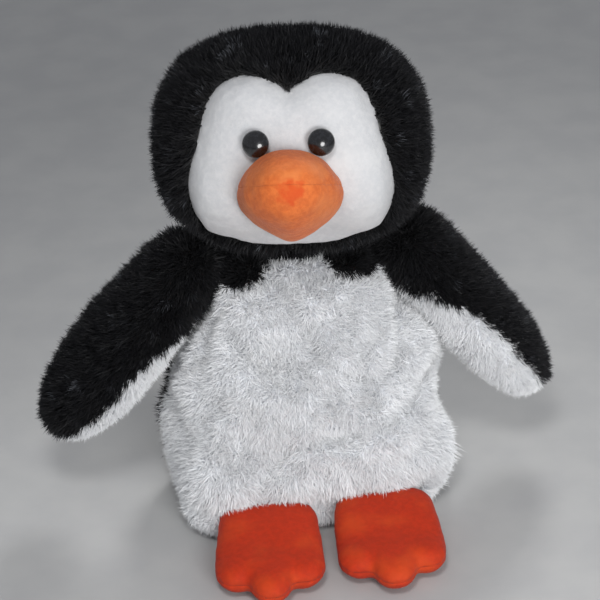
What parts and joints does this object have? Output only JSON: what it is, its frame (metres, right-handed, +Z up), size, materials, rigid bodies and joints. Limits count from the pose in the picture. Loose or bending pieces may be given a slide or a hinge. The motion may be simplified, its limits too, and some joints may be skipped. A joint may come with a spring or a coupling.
{
  "type": "plush penguin",
  "caption": "Sitting stuffed penguin: round hooded head with a pale face and soft beak, pear-shaped body, flippers and flat three-toed feet.",
  "frame": {"origin": "centre of the flat seat panel's underside", "axes": "+Z up, -Y the way the toy faces, +X to the penguin's own left"},
  "size_m": [0.262, 0.1825, 0.2425],
  "materials": {
    "black_plush": "long pile",
    "white_plush": "long curly pile",
    "face_minky": "short pile",
    "orange_velboa": "short pile",
    "fibre_filling": "loose",
    "bag_cloth": "woven",
    "label_satin": "satin",
    "eye_plastic": "gloss",
    "washer_plastic": "satin"
  },
  "bodies": {
    "torso": {"seat_panel": "white_plush", "belly_panel": "white_plush", "back_panel_left": "black_plush", "back_panel_right": "black_plush", "neck_yoke": "black_plush", "body_filling": "fibre_filling", "pellet_bag": "bag_cloth", "care_label": "label_satin"},
    "neck": {"neck_filling": "fibre_filling"},
    "head": {"face_panel": "face_minky", "head_gusset": "black_plush", "head_side_left": "black_plush", "head_side_right": "black_plush", "head_filling": "fibre_filling", "beak_upper": "orange_velboa", "beak_lower": "orange_velboa", "beak_filling": "fibre_filling", "eye_left": "eye_plastic", "eye_right": "eye_plastic", "eye_washer_left": "washer_plastic", "eye_washer_right": "washer_plastic"},
    "shoulder_left": {"shoulder_left_filling": "fibre_filling"},
    "flipper_left": {"flipper_left_outer": "black_plush", "flipper_left_inner": "white_plush", "flipper_left_filling": "fibre_filling"},
    "foot_left": {"foot_left_upper": "orange_velboa", "foot_left_sole": "orange_velboa", "foot_left_filling": "fibre_filling"},
    "shoulder_right": {"shoulder_right_filling": "fibre_filling"},
    "flipper_right": {"flipper_right_outer": "black_plush", "flipper_right_inner": "white_plush", "flipper_right_filling": "fibre_filling"},
    "foot_right": {"foot_right_upper": "orange_velboa", "foot_right_sole": "orange_velboa", "foot_right_filling": "fibre_filling"}
  },
  "joints": [
    {"name": "head_turn", "type": "hinge", "parent": "torso", "child": "neck", "pos_m": [0, 0.02123, 0.138], "axis": [0, 0, 1], "range_deg": [-26, 44], "stiffness_Nm_per_rad": 0.6},
    {"name": "head_nod", "type": "hinge", "parent": "neck", "child": "head", "pos_m": [0, 0.02123, 0.138], "axis": [0.9877, -0.1564, 0], "range_deg": [-14, 14], "stiffness_Nm_per_rad": 1.2},
    {"name": "flipper_left_swing", "type": "hinge", "parent": "torso", "child": "shoulder_left", "pos_m": [0.058, 0.01908, 0.124], "axis": [-0.809, 0, -0.5878], "range_deg": [-20, 30], "stiffness_Nm_per_rad": 0.35},
    {"name": "flipper_left_lift", "type": "hinge", "parent": "shoulder_left", "child": "flipper_left", "pos_m": [0.058, 0.01908, 0.124], "axis": [0, -1, 0], "range_deg": [-5, 55], "stiffness_Nm_per_rad": 0.35},
    {"name": "foot_left_flex", "type": "hinge", "parent": "torso", "child": "foot_left", "pos_m": [0.0295, -0.05212, 0.009], "axis": [-0.9986, 0.0523, 0], "range_deg": [0, 40], "stiffness_Nm_per_rad": 0.06},
    {"name": "flipper_right_swing", "type": "hinge", "parent": "torso", "child": "shoulder_right", "pos_m": [-0.058, 0.01908, 0.124], "axis": [-0.766, 0, 0.6428], "range_deg": [-20, 30], "stiffness_Nm_per_rad": 0.35},
    {"name": "flipper_right_lift", "type": "hinge", "parent": "shoulder_right", "child": "flipper_right", "pos_m": [-0.058, 0.01908, 0.124], "axis": [0, 1, 0], "range_deg": [-8, 48], "stiffness_Nm_per_rad": 0.35},
    {"name": "foot_right_flex", "type": "hinge", "parent": "torso", "child": "foot_right", "pos_m": [-0.0295, -0.05212, 0.009], "axis": [-0.9945, 0.1045, 0], "range_deg": [0, 40], "stiffness_Nm_per_rad": 0.06}
  ]
}
